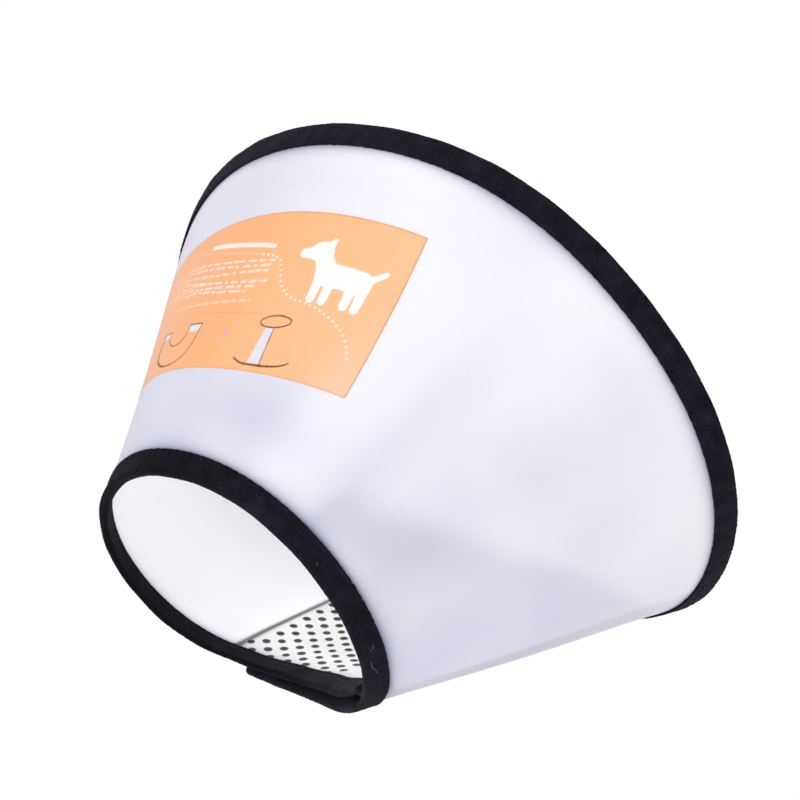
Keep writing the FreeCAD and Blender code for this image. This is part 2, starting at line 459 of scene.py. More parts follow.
def white_tape(name, low, high, scale):
    material, tree = new_material(name)
    nap = noise(tree, object_coords(tree), scale, detail=3.0)
    colour = colour_ramp(tree, nap, low, high, low_at=0.3, high_at=0.65)
    normal = bump_normal(tree, nap, strength=0.7, distance=0.0004)
    set_surface(tree, principled(tree, colour, normal, roughness=0.75, sheen=0.4))
    return material


def weld_dot():
    material, tree = new_material("weld_dot")
    grain = noise(tree, object_coords(tree), scale=1500.0, detail=3.0)
    normal = bump_normal(tree, grain, strength=0.3, distance=0.0002)
    set_surface(tree, principled(tree, attribute_colour(tree, "Shade"), normal,
                                 roughness=0.6, specular=0.25))
    return material


def lint():
    material, tree = new_material("lint")
    tone = noise(tree, object_coords(tree), scale=900.0, detail=3.0)
    colour = colour_ramp(tree, tone, (0.18, 0.18, 0.2), (0.5, 0.5, 0.5))
    set_surface(tree, node(tree, "BsdfPrincipled", {"Base Color": colour}).outputs[0])
    return material


SHEET = frosted_sheet()
TAPE = binding_tape()
THREAD = twisted_thread()
FILM = printed_film()
HOOK = white_tape("hook_tape", (0.78, 0.78, 0.80), (0.93, 0.93, 0.95), scale=2200.0)
LOOP = white_tape("loop_tape", (0.62, 0.62, 0.66), (0.88, 0.88, 0.90), scale=1300.0)
WELD = weld_dot()

# -------------------------------------------------------- hook strip's place
# On the flat sheet. The strip's edge runs a little askew to the flap's end.
HOOK_CORNER = np.array([0.0800, 0.1106])
HOOK_ALONG = np.array([0.7078, 0.7064])
HOOK_WIDTH = 0.0545


def across_from(along):
    return np.array([along[1], -along[0]])


def hook_coords(turn, slant):
    """Distances along and across the hook strip, from its corner."""
    from_corner = unroll(turn, slant) - HOOK_CORNER
    return from_corner @ HOOK_ALONG, from_corner @ across_from(HOOK_ALONG)


# --------------------------------------------------------------- cone sheet
SHEET_STEP = 0.6           # degrees between columns
SHEET_EDGE_GAP = 0.0013    # from each fold to the sheet's edge
SHEET_CORNER = 0.0034


def sheet_slants():
    """Rows from neck to rim, closely spaced near both edges."""
    low, high = NECK + SHEET_EDGE_GAP, RIM - SHEET_EDGE_GAP
    dense = 0.020
    near = np.arange(0, dense, 0.0010)
    middle = np.linspace(dense, (high - low) - dense, 38)
    return low + np.concatenate([near, middle, (high - low) - near[::-1]])


def blend_to(colour, amount, target):
    return colour * (1 - amount[..., None]) + target * amount[..., None]


def tape_shadow(turn, slant):
    """The binding's inner leg shows dark through the sheet beside each band."""
    ripple = 0.5 + 0.5 * np.sin(np.radians(turn) * 7 + 1.3)
    colour = np.ones(turn.shape + (3,))
    # distance past the band, strength, reach, extra reach with the ripple
    for gap, strength, reach, extra in (
            ((RIM - RIM_BAND) - slant, 0.86, 0.0012, 0.0010),
            (slant - (NECK + NECK_BAND), 0.74, 0.0013, 0.0007)):
        amount = strength * np.exp(-np.clip(gap, 0, 1) / (reach + extra * ripple))
        colour = blend_to(colour, amount * (gap > -0.003), np.array([0.30, 0.33, 0.47]))
    return colour


def outer_tone(turn, slant):
    """Brightness of the outer face: the layers and folds behind the sheet show
    as soft shade, and one ridge along the panel's side stays bright. All
    numbers are tuned; part is the slant as a share of the rim's."""
    part = slant / RIM
    side = (0.868 + 0.045 * ramp(turn, 245, 50)
            + (0.055 + 0.03 * ramp(turn, 250, 30)) * ramp(part, 0.58, 0.34))
    ridge = 0.962 + 0.035 * ramp(part, 0.58, 0.30)
    # past the ridge, a shaded area on the neck side of a slanting bound
    clear = 0.945 + 0.075 * ramp(part, 0.62, 0.32)
    bound = np.interp(turn,
                      [312, 320, 330, 340, 350, 360, 370, 380, 390, 402, 412],
                      [0.49, 0.552, 0.566, 0.602, 0.64, 0.685, 0.762, 0.815, 0.875, 0.93, 0.95])
    depth = np.interp(turn,
                      [312, 320, 335, 350, 365, 380, 392, 404],
                      [0.0, 0.060, 0.075, 0.075, 0.070, 0.075, 0.065, 0.055])
    within = smooth((bound - part) / 0.055 + 0.5)
    crest = bump(part, bound - 0.045, 0.035) * np.interp(
        turn, [315, 328, 345, 362, 375], [0.0, 0.022, 0.026, 0.012, 0.0])
    shaded = clear - (depth * within + crest) * 0.74
    # run the zones together along the turn
    tone = side + (ridge - side) * ramp(turn, 286, 16)
    tone = tone + (shaded - tone) * ramp(turn, 311, 10)
    tone = tone + (0.95 - tone) * ramp(turn, 404, 12)
    # local lights and darks
    tone = tone + 0.030 * ramp(turn, 342, 20) * (1 - 0.6 * ramp(part, 0.66, 0.06))
    tone = tone - 0.024 * bump(turn, 320, 7.0) * smooth((0.90 - part) / 0.05)
    tone = tone - 0.045 * bump(turn, 282, 20.0) * bump(part, 0.555, 0.035)
    tone = tone + 0.028 * bump(turn, 338, 18.0) * bump(part, 0.49, 0.025)
    tone = tone + 0.018 * ramp(part, 0.90, 0.05)
    tone = tone - 0.030 * bump(turn, 344, 10.0) * ramp(part, 0.68, 0.08)
    tone = tone - 0.012 * ramp(part, 0.72, 0.08) * ramp(turn, 350, 12)
    tone = tone + 0.035 * ramp(turn, 386, 12) + 0.030 * ramp(turn, 397, 5)
    # faint mottling
    angle = np.radians(turn)
    tone = tone + 0.006 * np.sin(angle * 9 + slant * 60) * np.sin(angle * 4 - slant * 35)
    return np.clip(tone / 1.02, 0.5, 1.03)


def outer_shading(turn, slant):
    """The exponents turn the shade lilac."""
    tone = outer_tone(turn, slant)
    blue_power = 1.75 - 0.30 * ramp(turn, 360, 16)
    return np.stack([tone ** 2.30, tone ** 2.25, tone ** blue_power], -1)


def inner_shading(tint, turn, slant, flap):
    tint = tint * np.array([1.0, 1.0, 0.972])
    if flap:
        # deep shade between the two layers beside the neck tape
        deep = (1 - ramp(slant, NECK + 0.019, 0.004)) * (1 - ramp(turn, 436, 10))
        return tint * (1 - 0.95 * deep[..., None])
    # the sheet is made a little darker over the hook strip, and a painted shadow line runs along
    # the strip's edge
    along, across = hook_coords(turn, slant)
    near_tongue = turn < 140
    covered = ramp(across, -0.0002, 0.0012) * (across < HOOK_WIDTH) * near_tongue
    line_width = 0.00120 + 0.0006 * np.exp(-np.clip(along, 0, 1) / 0.012)
    line = np.exp(-(np.abs(across + 0.0004) / line_width) ** 2.4) * near_tongue
    tint = tint * (1 - 0.09 * covered[..., None])
    return blend_to(tint, 0.93 * line, np.array([0.055, 0.050, 0.055]))


def build_sheet(start, stop, flap):
    turns = np.linspace(start, stop, int(round((stop - start) / SHEET_STEP)) + 1)
    turn, slant = np.meshgrid(turns, sheet_slants(), indexing="ij")
    # corners at the free ends are rounded with the tape
    from_end = (FLAP_END - turn) if flap else (turn - TONGUE_END)
    for fold, inward in ((NECK, 1), (RIM, -1)):
        distance = np.radians(np.clip(from_end, 0, 30)) * (SHEET_ANGLE / math.tau) * fold
        fade = np.clip(1 - np.abs(slant - fold) / 0.02, 0, 1)
        slant = slant + inward * corner_inset(distance, SHEET_CORNER) * fade
    outside = place(turn, slant, SHEET_LIFT)
    inside = place(turn, slant, -SHEET_LIFT)
    rings = np.concatenate([outside, inside[:, ::-1]], 1)
    obj = sweep("cone_sheet" + suffix(flap), rings, SHEET)
    # painted shade and light on both faces: the tape shadows, the outer face's soft shade and
    # bright ridge, and the inner face's shade
    shadow = tape_shadow(turn, slant)
    outer = shadow * outer_shading(turn, slant)
    inner = inner_shading(shadow, turn, slant, flap)
    tint = np.concatenate([outer, inner[:, ::-1]], 1).reshape(-1, 3)
    colour_attribute(obj, "Tint", np.clip(tint, 0, 1.1))
    fix_normals(obj)
    follow_bodies(obj, np.repeat(turns, rings.shape[1]))
    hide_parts(*body_names("sheet_", flap))


# ------------------------------------------------------------------ bindings
# fold: slant of the fold. outward: sign of slant from the sheet to the fold.
# leg: slant where the outer leg ends. pitch: stitch spacing. step: degrees
# between columns. fibres: loose fibres per square millimetre.
Edge = namedtuple("Edge", "name fold outward leg pitch step fibres")
RIM_EDGE = Edge("rim", RIM, 1.0, RIM - RIM_BAND - 0.0006, 0.0040, 0.42, 0.92)
NECK_EDGE = Edge("neck", NECK, -1.0, NECK + NECK_BAND, 0.0034, 0.36, 1.35)

SEAM_INSET = 0.0022        # from the outer leg's edge to the seam
TAPE_LIFT = 0.0014         # from the sheet's middle to the tape's skin
TAPE_SLOT = 0.00034        # half the gap that holds the sheet
TAPE_ROUND = 0.00045       # rounding of the cut edges
TAPE_CORNER = 0.0030       # corner radius at the tape's free ends
FIBRE_RADIUS = 0.000045
SKIN_WIDTH_MM = 22.0       # across the whole skin, to count the fibres


def binding_profile(length):
    """Closed loop of (depth from the fold, lift): the skin along the outer leg,
    round the fold and back along the inner leg, then the lining round the
    sheet's edge. Skin and lining have equal counts, so ends cap with quads."""
    inner_length = length - 0.0004

    def rounded_edge(end, side, degrees):
        return [(end - TAPE_ROUND + TAPE_ROUND * math.cos(math.radians(a)),
                 side * (TAPE_LIFT - TAPE_ROUND + TAPE_ROUND * math.sin(math.radians(a))))
                for a in degrees]

    skin = [(length, TAPE_SLOT + 0.00005)]
    skin += rounded_edge(length, 1, (20, 50, 80))
    skin += [(x, TAPE_LIFT) for x in np.linspace(length - TAPE_ROUND - 0.0004, TAPE_LIFT, 9)]
    skin += [(TAPE_LIFT - TAPE_LIFT * math.cos(math.radians(a)),
              TAPE_LIFT * math.sin(math.radians(a))) for a in np.linspace(80, -80, 9)]
    skin += [(x, -TAPE_LIFT)
             for x in np.linspace(TAPE_LIFT, inner_length - TAPE_ROUND - 0.0004, 9)]
    skin += rounded_edge(inner_length, -1, (80, 50, 20))
    skin.append((inner_length, -TAPE_SLOT - 0.00005))

    bottom = 0.00115       # depth of the slot's end
    per_leg = (len(skin) - 3) // 2
    lining = [(x, -TAPE_SLOT) for x in np.linspace(inner_length - 0.0002, bottom + 0.0002, per_leg)]
    lining += [(bottom, -TAPE_SLOT * 0.6), (bottom, 0.0), (bottom, TAPE_SLOT * 0.6)]
    lining += [(x, TAPE_SLOT) for x in np.linspace(bottom + 0.0002, length - 0.0002, per_leg)]
    profile = np.array(skin + lining)
    return profile[:, 0], profile[:, 1], len(skin)


def loosen_neck(turns, slants, lifts, depth, length, on_skin):
    """The neck tape is less even: its inner leg is wider over the overlapping
    ends, and over one side it stands prouder and fuller."""
    wider = 0.0036 * ramp(turns, 372.0, 20.0) + 0.0030 * (1 - ramp(turns, 40.0, 22.0))
    wider = wider + np.interp(turns, [110, 127, 144, 188, 208, 222, 242],
                              [0, -0.0008, 0, 0, 0.0008, 0.0011, 0])
    proud = np.interp(turns, [200, 232, 262, 292], [0, 0.00045, 0.0006, 0])
    full = np.interp(turns, [176, 196, 216, 243, 260, 280, 304],
                     [0, 0.25, 0.60, 0.50, 0.42, 0.24, 0])
    inner_leg = (lifts < -0.0001) & (depth > TAPE_LIFT)
    stretch = np.clip((depth - TAPE_LIFT) / (length - TAPE_LIFT), 0, 1.1)
    slants = slants + np.where(inner_leg, wider[:, None] * stretch, 0.0)
    slants = slants - proud[:, None] * on_skin * np.exp(-(depth / 0.0030) ** 2)
    lifts = lifts * (1 + full[:, None] * on_skin * np.exp(-(depth / 0.0045) ** 2))
    return slants, lifts


def tape_rings(edge, turns, arc, flap, rounded, rng, seed):
    """Tape vertices by column and profile point, and the skin's point count."""
    length = abs(edge.leg - edge.fold)
    depths, profile_lifts, skin_count = binding_profile(length)
    columns, around = len(turns), len(depths)
    slants = np.repeat((edge.fold - edge.outward * depths)[None], columns, 0)
    lifts = np.repeat(profile_lifts[None], columns, 0)
    depth = np.abs(edge.fold - slants)
    on_skin = (np.arange(around) < skin_count)[None]
    raised = on_skin & (np.abs(lifts) > 0.0006)
    stitch_phase = np.cos(2 * np.pi * arc / edge.pitch)[:, None]
    if edge is NECK_EDGE:
        slants, lifts = loosen_neck(turns, slants, lifts, depth, length, on_skin)
    # stitches draw the pile in along the seam, unevenly over each pitch
    pull = bump(depth, length - SEAM_INSET, 0.0007) * (0.62 + 0.38 * stitch_phase)
    lifts = lifts - np.sign(lifts) * raised * 0.00040 * pull
    # the free edge of each leg scallops between stitches
    near_edge = ramp(depth, length - SEAM_INSET, SEAM_INSET) * on_skin
    ragged = rng.normal(0, 1, columns)[:, None]
    slants = slants + edge.outward * near_edge * (0.00004 * stitch_phase + 0.00006 * ragged)
    # small bumps over the skin, and a slow swell along the tape
    swell = 0.00009 * (np.sin(arc * 150 + seed)[:, None] * np.sin(depth * 500 + 1)
                       + 0.6 * np.sin(arc * 310 + 2 * seed)[:, None])
    grain = rng.normal(0, 0.00006, (columns, around))
    lifts = lifts + np.sign(lifts) * raised * (swell + grain)
    on_fold = on_skin & (np.abs(lifts) <= TAPE_LIFT) & (depth < TAPE_LIFT)
    fold_swell = 0.00008 * np.sin(arc * 260 + seed)[:, None]
    slants = slants + edge.outward * on_fold * (0.6 * grain + fold_swell)
    # round the tape's cut ends
    half = length / 2
    middle = edge.fold - edge.outward * half
    from_start, from_stop = arc - arc[0], arc[-1] - arc
    scale = np.ones(columns)
    for use, distance in zip(rounded, (from_start, from_stop)):
        if use:
            scale = np.minimum(scale, (half - corner_inset(distance, TAPE_CORNER)) / half)
    slants = middle + (slants - middle) * scale[:, None]
    # at the free end the two legs are pressed shut round the sheet's edge
    from_free_end = from_stop if flap else from_start
    shut = 0.08 + 0.92 * ramp(from_free_end, 0.0002, 0.0014)[:, None]
    lining = ~on_skin[0]
    lining[[0, skin_count - 1]] = True
    lifts = lifts * np.where(lining[None], shut, 0.62 + 0.38 * shut)
    return place(turns[:, None], slants, lifts), skin_count


def unit_rows(vectors):
    return vectors / (np.linalg.norm(vectors, axis=1, keepdims=True) + 1e-12)


def loose_fibres(rings, skin_count, count, rng):
    """Short tapered fibres standing on the skin: the column each one grows
    from, and four vertices each, the tip last."""
    column = rng.uniform(1, len(rings) - 2, count)
    across = rng.uniform(1.0, skin_count - 2.0, count)
    # more fibres along the free edge of the outer leg
    extra = rng.random(count) < 0.22
    across = np.where(extra, rng.uniform(0.0, 4.0, count), across)
    i = column.astype(int)
    j = np.clip(across.astype(int), 0, skin_count - 2)
    a, b = (column - i)[:, None], (across - j)[:, None]
    root = (rings[i, j] * (1 - a) * (1 - b) + rings[i + 1, j] * a * (1 - b)
            + rings[i, j + 1] * (1 - a) * b + rings[i + 1, j + 1] * a * b)
    lengthwise = unit_rows(rings[i + 1, j] - rings[i, j])
    crosswise = unit_rows(rings[i, j + 1] - rings[i, j])
    normal = unit_rows(np.cross(lengthwise, crosswise))
    facing = np.sign(((root - rings.mean(1)[i]) * normal).sum(1, keepdims=True))
    normal = normal * np.where(facing == 0, 1, facing)
    lean = rng.normal(0, 0.55, (count, 2))
    direction = normal + lengthwise * lean[:, :1] + crosswise * lean[:, 1:]
    direction /= np.linalg.norm(direction, axis=1, keepdims=True)
    height = rng.uniform(0.00022, 0.00055, count)[:, None] * (1 + 0.35 * extra[:, None])
    foot = root - normal * 0.00008
    verts = np.empty((count, 4, 3))
    for k in range(3):
        angle = k * math.tau / 3
        verts[:, k] = (foot + lengthwise * (FIBRE_RADIUS * math.cos(angle))
                       + crosswise * (FIBRE_RADIUS * math.sin(angle)))
    verts[:, 3] = foot + direction * height
    return column, verts.reshape(-1, 3)


def build_binding(edge, start, stop, flap, rounded, seed):
    """rounded says which ends, start and stop, have rounded corners."""
    turns = np.linspace(start, stop, int(round((stop - start) / edge.step)) + 1)
    arc = turns / 360.0 * SHEET_ANGLE * edge.fold      # metres along the fold
    rng = np.random.default_rng(seed)
    rings, skin_count = tape_rings(edge, turns, arc, flap, rounded, rng, seed)
    columns, around = rings.shape[:2]
    body_count = columns * around
    faces = sweep_faces(columns, around)
    skin_area = (arc[-1] - arc[0]) * 1e3 * SKIN_WIDTH_MM
    fibre_count = int(skin_area * edge.fibres)
    fibre_column, fibre_verts = loose_fibres(rings, skin_count, fibre_count, rng)
    first = body_count + np.arange(fibre_count)[:, None] * 4
    fibre_faces = np.concatenate([first + np.array(corners) for corners in
                                  ((0, 1, 3), (1, 2, 3), (2, 0, 3), (0, 2, 1))], 0).tolist()
    verts = np.concatenate([rings.reshape(-1, 3), fibre_verts])
    obj = new_mesh(f"{edge.name}_tape{suffix(flap)}", verts, faces + fibre_faces, TAPE)
    flat_faces(obj, (columns - 1) * around, len(faces))
    fix_normals(obj)
    fibre_turns = np.interp(fibre_column, np.arange(columns), turns)
    all_turns = np.concatenate([np.repeat(turns, around), np.repeat(fibre_turns, 4)])
    follow_bodies(obj, all_turns)
    # painted light and shade: the neck tape is darker over one stretch, and a little lighter
    # elsewhere and all along the rim tape
    if edge is NECK_EDGE:
        painted_shade = np.interp(all_turns, [60, 85, 262, 305], [1.08, 0.42, 0.42, 1.08])
    else:
        painted_shade = np.full(len(all_turns), 1.06)
    colour_attribute(obj, "PaintedShade", np.repeat(painted_shade[:, None], 3, 1))
    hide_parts(*body_names(edge.name + "_binding_", flap))


# ------------------------------------------------------------------ stitches
STITCH_SHARE = 0.74        # visible share of the pitch
STITCH_RADIUS = 0.00024
STITCH_LIFT = 0.00118
STITCH_SIDES = 6
# stations along one stitch: place, share of the radius, sink into the pile
STITCH_STATIONS = np.array([
    (-0.50, 0.45, -0.00026), (-0.40, 0.85, -0.00010), (-0.18, 1.0, 0.0),
    (0.18, 1.0, 0.0), (0.40, 0.85, -0.00010), (0.50, 0.45, -0.00026)])


def build_stitches(edge, start, stop, flap):
    """One row of stitches on the outside and one on the inside."""
    seam = edge.leg + edge.outward * SEAM_INSET
    arc_start, arc_stop = (t / 360 * SHEET_ANGLE * edge.fold for t in (start, stop))
    along = STITCH_STATIONS[:, 0] * edge.pitch * STITCH_SHARE
    radii = STITCH_STATIONS[:, 1, None] * STITCH_RADIUS
    sink = STITCH_STATIONS[:, 2, None]
    angles = (np.arange(STITCH_SIDES) / STITCH_SIDES * 2 * np.pi)[None]
    verts, faces, vert_turns = [], [], []
    for side in (1, -1):
        for k in range(math.ceil(arc_start / edge.pitch), math.floor(arc_stop / edge.pitch) + 1):
            centre = (k + 0.5) * edge.pitch
            if centre + 0.6 * edge.pitch > arc_stop or centre - 0.6 * edge.pitch < arc_start:
                continue
            turns = (centre + along) / edge.fold / SHEET_ANGLE * 360
            slants = seam + radii * np.cos(angles)
            lifts = side * (STITCH_LIFT + sink + radii * np.sin(angles))
            faces += tube_faces(len(verts), len(along), STITCH_SIDES)
            verts.extend(place(turns[:, None], slants, lifts).reshape(-1, 3))
            vert_turns.extend(np.repeat(turns, STITCH_SIDES))
    obj = new_mesh(f"{edge.name}_stitches{suffix(flap)}", np.array(verts), faces, THREAD)
    fix_normals(obj)
    follow_bodies(obj, vert_turns)
    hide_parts(*body_names(edge.name + "_needle_thread_", flap),
                *body_names(edge.name + "_bobbin_thread_", flap))


# ------------------------------------------------------------------- closure
STRIP_BACK, STRIP_FACE = 0.0003, 0.0014    # lifts of a strip's two faces


def build_strip(name, corner, along, width, start, stop, side, material, flap):
    """A straight tape laid on the flat sheet; side is 1 outside, -1 inside."""
    lengthwise, across = np.meshgrid(np.linspace(start, stop, 150),
                                     np.linspace(0, width, 56), indexing="ij")
    turn, slant = roll(corner + lengthwise[..., None] * along
                       + across[..., None] * across_from(along))
    if flap:
        turn = turn + 360.0
    from_edge = np.minimum(across, width - across)
    rough = np.random.default_rng(10).normal(0, 0.00005, turn.shape)
    edge_drop = side * 0.00045 * np.exp(-from_edge / 0.0008)
    face = place(turn, slant, side * STRIP_FACE + rough - edge_drop)
    back = place(turn, slant, side * STRIP_BACK)
    obj = sweep(name, np.concatenate([face, back[:, ::-1]], 1), material)
    fix_normals(obj)
    return obj, turn


def build_hook_strip():
    """On the tongue's outer face."""
    obj, _ = build_strip("hook_strip", HOOK_CORNER, HOOK_ALONG, HOOK_WIDTH,
                         start=0.0010, stop=0.1305, side=1, material=HOOK, flap=False)
    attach(obj, "back")
    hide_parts("tongue_hook_tape")


def build_loop_strip():
    """On the flap's inner face, parallel to the flap's end."""
    edge_turn = (FLAP_END - 1.0) - 360.0
    corner = unroll(edge_turn, NECK + NECK_BAND + 0.0016)
    obj, turn = build_strip("loop_strip", corner, unroll(edge_turn, 1.0), 0.048,
                            start=0.0, stop=0.1345, side=-1, material=LOOP, flap=True)
    follow_bodies(obj, np.concatenate([turn, turn[:, ::-1]], 1))
    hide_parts("flap_loop_tape")


# a skewed grid on the flat sheet
WELD_ORIGIN = np.array([0.09795, 0.12120])
WELD_STEP_A = np.array([0.00658, 0.00049])
WELD_STEP_B = np.array([0.00024, -0.00652])
WELD_RADIUS = 0.00172
WELD_SIDES = 14
# rings of one dot from its centre out: share of the radius, lift, colour
WELD_RINGS = [
    (0.0, -0.00041, (0.020, 0.0204, 0.0212)),
    (0.52, -0.00040, (0.024, 0.02448, 0.02544)),
    (0.86, -0.00038, (0.050, 0.051, 0.053)),
    (1.08, -0.00033, (0.50, 0.51, 0.53)),
    (1.08, -0.00025, (0.4, 0.4, 0.42))]


def on_hook_strip(flat_point):
    turn, slant = roll(flat_point)
    along, across = hook_coords(turn, slant)
    return (0.0012 < across < HOOK_WIDTH - 0.001 and along < 0.1285
            and NECK + NECK_BAND + 0.0002 < slant < RIM - RIM_BAND - 0.004)


def build_weld_dots():
    """Shallow dots on the tongue's inner face, behind the hook strip."""
    rng = np.random.default_rng(7)
    angles = np.arange(WELD_SIDES) / WELD_SIDES * 2 * np.pi
    unit_a = WELD_STEP_A / np.linalg.norm(WELD_STEP_A)
    unit_b = WELD_STEP_B / np.linalg.norm(WELD_STEP_B)
    spokes = [unit_a * math.cos(a) + unit_b * math.sin(a) for a in angles]
    verts, faces, shades = [], [], []
    for i in range(-14, 46):
        for j in range(-40, 40):
            grid_point = WELD_ORIGIN + i * WELD_STEP_A + j * WELD_STEP_B
            if not on_hook_strip(grid_point):
                continue
            centre = grid_point + rng.normal(0, 0.00008, 2)
            size = 1.05 + rng.normal(0, 0.04)
            points, lifts = [], []
            for share, lift, colour in WELD_RINGS:
                for spoke in (spokes if share else spokes[:1]):
                    points.append(centre + spoke * share * WELD_RADIUS * size)
                    lifts.append(lift)
                    shades.append(colour)
            base = len(verts)
            verts.extend(place(*roll(np.array(points)), np.array(lifts)))
            for a in range(WELD_SIDES):
                b = (a + 1) % WELD_SIDES
                faces.append([base, base + 1 + a, base + 1 + b])
                for ring in range(3):
                    inner = base + 1 + ring * WELD_SIDES
                    outer = inner + WELD_SIDES
                    faces.append([inner + a, outer + a, outer + b, inner + b])
            faces.append([base + 1 + 3 * WELD_SIDES + a for a in range(WELD_SIDES)])
    obj = new_mesh("weld_dots", np.array(verts), faces, WELD)
    fix_normals(obj)
    colour_attribute(obj, "Shade", np.array(shades))
    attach(obj, "back")


# ------------------------------------------------------- printed panel's art
# The drawing is in millimetres: x grows with turn, y grows towards the rim.
PANEL_WIDTH, PANEL_HEIGHT = 146.0, 66.0
WHITE = (0.97, 0.93, 0.90)
BROWN = (0.16, 0.055, 0.012)
GREY = (0.80, 0.79, 0.84)
EDGE_ORANGE = (0.965, 0.360, 0.105)
# background: x, then red, green and blue; it lightens towards large x
BACKGROUND = np.array([
    (0, 0.98, 0.475, 0.205), (60, 0.985, 0.475, 0.205), (75, 0.985, 0.480, 0.210),
    (95, 0.985, 0.525, 0.250), (120, 0.985, 0.560, 0.280), (137, 0.985, 0.592, 0.315),
    (146, 0.985, 0.61, 0.34)])
HEADING = [(50.0, 56.6), (70.0, 53.0), (88.0, 50.9)]
WORDING = [
    [(13, 55.6), (33.3, 51.4), (43.2, 49.6), (57.1, 46.9), (70.6, 45.3), (83.8, 44.8),
     (91.8, 44.8)],
    [(13, 53.2), (33.3, 49.3), (41.7, 47.7), (53.4, 45.3), (73.9, 42.7), (91.8, 42.9)],
    [(13, 51.0), (33.3, 46.9), (39.2, 45.3), (50.1, 42.7), (65.1, 40.3), (80.9, 40.2),
     (90.0, 40.5)],
    [(13, 48.8), (32.2, 44.8), (44.6, 41.1), (54.5, 38.7)],
    [(14, 45.6), (35.5, 41.3), (49.8, 39.0), (62.6, 37.1), (77.6, 35.8), (91.5, 36.0)],
    [(14, 44.0), (35.1, 39.8), (43.9, 38.2), (54.2, 36.0), (70.6, 34.2), (85.3, 33.7)],
    [(14, 41.8), (34.8, 37.9), (42.1, 36.3), (49.8, 35.3), (65.1, 32.6), (82.0, 31.5)],
    [(20, 34.5), (42.1, 30.6), (50.9, 29.4), (66.2, 27.8), (78.3, 27.6), (87.1, 27.8)]]
DOTTED_PATH = [
    (33, 58.6), (43.2, 56.0), (56.4, 52.0), (65.9, 50.0), (76, 48.4), (86, 47.2), (91.2, 46.2),
    (94.2, 44.3), (95.9, 40.8), (98.4, 35.6), (102.1, 32.2), (106.5, 30.2), (112, 29.2),
    (117.5, 28.4), (122.8, 26.8), (128.5, 24.4), (133.2, 21.4), (137.0, 17.4), (139.3, 13.5)]
DOG_HEAD, DOG_HEAD_RADII = (110.4, 50.0), (4.9, 4.1)
# the dog's other parts: two centres and the radius at each
DOG_BODY = ((116.0, 41.6), (130.4, 41.6), 4.7, 4.5)
DOG_NECK = ((115.4, 43.0), (111.8, 48.4), 4.0, 3.4)
DOG_LIMBS = [
    ((108.4, 49.2), (103.6, 48.6), 2.5, 2.0),      # muzzle
    ((112.8, 53.0), (114.0, 55.2), 1.7, 0.9),      # ear
    ((114.0, 39.6), (114.0, 31.4), 2.0, 1.7),      # legs
    ((119.0, 39.6), (119.0, 31.4), 2.0, 1.7),
    ((128.0, 39.6), (128.0, 31.4), 2.2, 1.7),
    ((132.6, 39.6), (132.6, 31.4), 2.2, 1.7),
    ((133.6, 43.6), (138.2, 47.6), 1.4, 1.0)]      # tail
FLAT_SHEET_TABS = [[(33.1, 17.8), (32.9, 20.6), (40.6, 19.6), (39.6, 17.2)],
                   [(56.0, 19.6), (64.4, 19.1), (62.7, 16.0), (55.4, 16.3)]]
FLAT_SHEET_OUTER = [(32.9, 20.4), (32.2, 14.9), (32.4, 11.2), (35.1, 7.0), (42.0, 3.6),
                    (50.9, 3.0), (58.2, 5.6), (62.3, 10.6), (64.4, 19.1)]
FLAT_SHEET_INNER = [(40.6, 19.6), (39.7, 17.2), (42.1, 14.2), (46.1, 12.0), (50.9, 12.0),
                    (54.2, 14.2), (55.5, 16.6), (56.0, 19.6)]
FLAT_SHEET_ENDS = [[(32.9, 20.5), (40.6, 19.6)], [(56.0, 19.7), (64.4, 19.2)]]
ARROW = [(78.7, 16.4), (83.3, 14.5), (79.8, 11.7), (80.5, 14.1)]
CONE_BAND = [(101.0, 17.9), (104.7, 17.6), (105.4, 3.2), (99.2, 3.2)]
CONE_NEAR_BASE = [(91.5, 4.6), (95.9, 2.95), (101.4, 2.7), (107.9, 2.9), (113.4, 3.7),
                  (116.7, 4.8), (118.2, 5.8)]
CONE_FAR_BASE = [(91.5, 4.6), (97.0, 8.6), (106.0, 9.4), (114.0, 8.6), (118.2, 5.8)]
CONE_SIDES = [[(97.4, 19.3), (91.6, 4.8)], [(111.0, 21.2), (118.0, 6.0)]]
THIN_LINE = [(58.0, 24.6), (65.1, 23.4), (77.9, 22.6), (90.0, 22.5), (98.4, 22.8),
             (100.0, 20.2), (101.4, 17.6)]


def segment_distance(x, y, a, b):
    """Distance to a segment, and the nearest place along it from 0 to 1."""
    dx, dy = b[0] - a[0], b[1] - a[1]
    t = np.clip(((x - a[0]) * dx + (y - a[1]) * dy) / (dx * dx + dy * dy + 1e-9), 0, 1)
    return np.hypot(x - a[0] - t * dx, y - a[1] - t * dy), t


def line_distance(x, y, points):
    distance = np.full(x.shape, 1e9)
    for a, b in zip(points[:-1], points[1:]):
        distance = np.minimum(distance, segment_distance(x, y, a, b)[0])
    return distance


def capsule_distance(x, y, a, b, radius_a, radius_b):
    distance, t = segment_distance(x, y, a, b)
    return distance - (radius_a + (radius_b - radius_a) * t)


def ellipse_distance(x, y, centre, radii):
    ratio = np.sqrt(((x - centre[0]) / radii[0]) ** 2 + ((y - centre[1]) / radii[1]) ** 2)
    return (ratio - 1) * min(radii)


def polygon_distance(x, y, points):
    """Signed distance, negative inside."""
    distance = line_distance(x, y, points + points[:1])
    inside = np.zeros(x.shape, bool)
    for a, b in zip(points, points[1:] + points[:1]):
        crosses = (a[1] > y) != (b[1] > y)
        rise = (b[1] - a[1]) if b[1] != a[1] else 1e-9
        inside ^= crosses & (x < (b[0] - a[0]) * (y - a[1]) / rise + a[0])
    return np.where(inside, -distance, distance)


